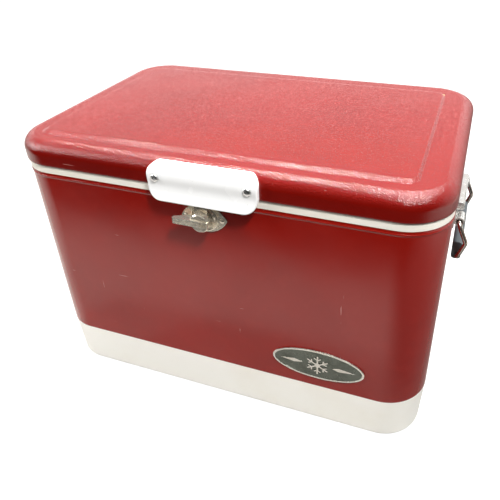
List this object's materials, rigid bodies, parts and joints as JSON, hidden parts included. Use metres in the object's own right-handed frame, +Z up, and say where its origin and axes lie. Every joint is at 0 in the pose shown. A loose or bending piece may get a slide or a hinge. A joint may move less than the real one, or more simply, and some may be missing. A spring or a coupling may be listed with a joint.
{
  "type": "picnic cooler chest",
  "caption": "Steel-clad picnic cooler chest with a hinged insulated lid, a twist latch, wire carrying handles and a drain.",
  "frame": {"origin": "middle of the base, on the surface that the chest stands on", "axes": "+X along the chest towards its right end, +Y from the latch front to the hinges at the back, +Z up"},
  "size_m": [0.6408, 0.4185, 0.406],
  "materials": {
    "red_paint": "gloss",
    "lid_paint": "gloss",
    "base_plastic": "gloss",
    "tub_plastic": "satin",
    "rim_plastic": "satin",
    "pull_plastic": "gloss",
    "foam": "matte",
    "badge_metal": "satin",
    "badge_enamel": "gloss",
    "latch_nickel": "polished",
    "spring_steel": "satin",
    "hinge_steel": "satin",
    "screw_steel": "polished",
    "bracket_steel": "polished",
    "wire_steel": "polished",
    "grip_plastic": "satin",
    "drain_plastic": "satin",
    "seal_rubber": "matte"
  },
  "bodies": {
    "chest": {"base_tray": "base_plastic", "outer_shell": "red_paint", "rear_seam_strip": "red_paint", "insulation_floor": "foam", "insulation_front": "foam", "insulation_rear": "foam", "insulation_right": "foam", "insulation_left": "foam", "inner_liner": "tub_plastic", "top_rim": "rim_plastic", "badge_plate": "badge_metal", "badge_field": "badge_enamel", "badge_emblem": "badge_metal", "latch_plate": "latch_nickel", "latch_plate_screws": "latch_nickel", "hinge_leaf_body_right": "hinge_steel", "hinge_leaf_body_left": "hinge_steel", "hinge_pin_right": "hinge_steel", "hinge_pin_left": "hinge_steel", "hinge_screws_body": "screw_steel", "handle_bracket_right": "bracket_steel", "handle_bracket_left": "bracket_steel", "bracket_screws_right": "screw_steel", "bracket_screws_left": "screw_steel", "drain_spout": "drain_plastic", "drain_nut": "drain_plastic", "drain_seal": "seal_rubber"},
    "lid": {"lid_shell": "lid_paint", "lid_liner": "tub_plastic", "lid_foam": "foam", "lid_gasket": "seal_rubber", "lid_handle": "pull_plastic", "lid_handle_screws": "screw_steel", "latch_strike": "latch_nickel", "strike_rivets": "latch_nickel", "hinge_leaf_lid_right": "hinge_steel", "hinge_leaf_lid_left": "hinge_steel", "hinge_screws_lid": "screw_steel"},
    "latch": {"latch_lever": "latch_nickel", "latch_cam": "latch_nickel", "latch_spindle": "latch_nickel", "latch_spring_washer": "spring_steel"},
    "handle_right": {"bail_wire_right": "wire_steel", "bail_grip_right": "grip_plastic"},
    "handle_left": {"bail_wire_left": "wire_steel", "bail_grip_left": "grip_plastic"},
    "drain_stopper": {"drain_plug": "drain_plastic", "drain_plug_seal": "seal_rubber"}
  },
  "joints": [
    {"name": "lid_hinge", "type": "hinge", "parent": "chest", "child": "lid", "pos_m": [0, 0.202, 0.366], "axis": [-1, 0, 0], "range_deg": [0, 95]},
    {"name": "latch_turn", "type": "hinge", "parent": "chest", "child": "latch", "pos_m": [0, -0.2, 0.331], "axis": [0, -1, 0], "range_deg": [0, 90]},
    {"name": "handle_right_swing", "type": "hinge", "parent": "chest", "child": "handle_right", "pos_m": [0.3055, 0, 0.3055], "axis": [0, -1, 0], "range_deg": [0, 95]},
    {"name": "handle_left_swing", "type": "hinge", "parent": "chest", "child": "handle_left", "pos_m": [-0.3055, 0, 0.3055], "axis": [0, 1, 0], "range_deg": [0, 95]},
    {"name": "drain_plug_pull", "type": "slide", "parent": "chest", "child": "drain_stopper", "axis": [-1, 0, 0], "range_m": [0, 0.022]}
  ]
}
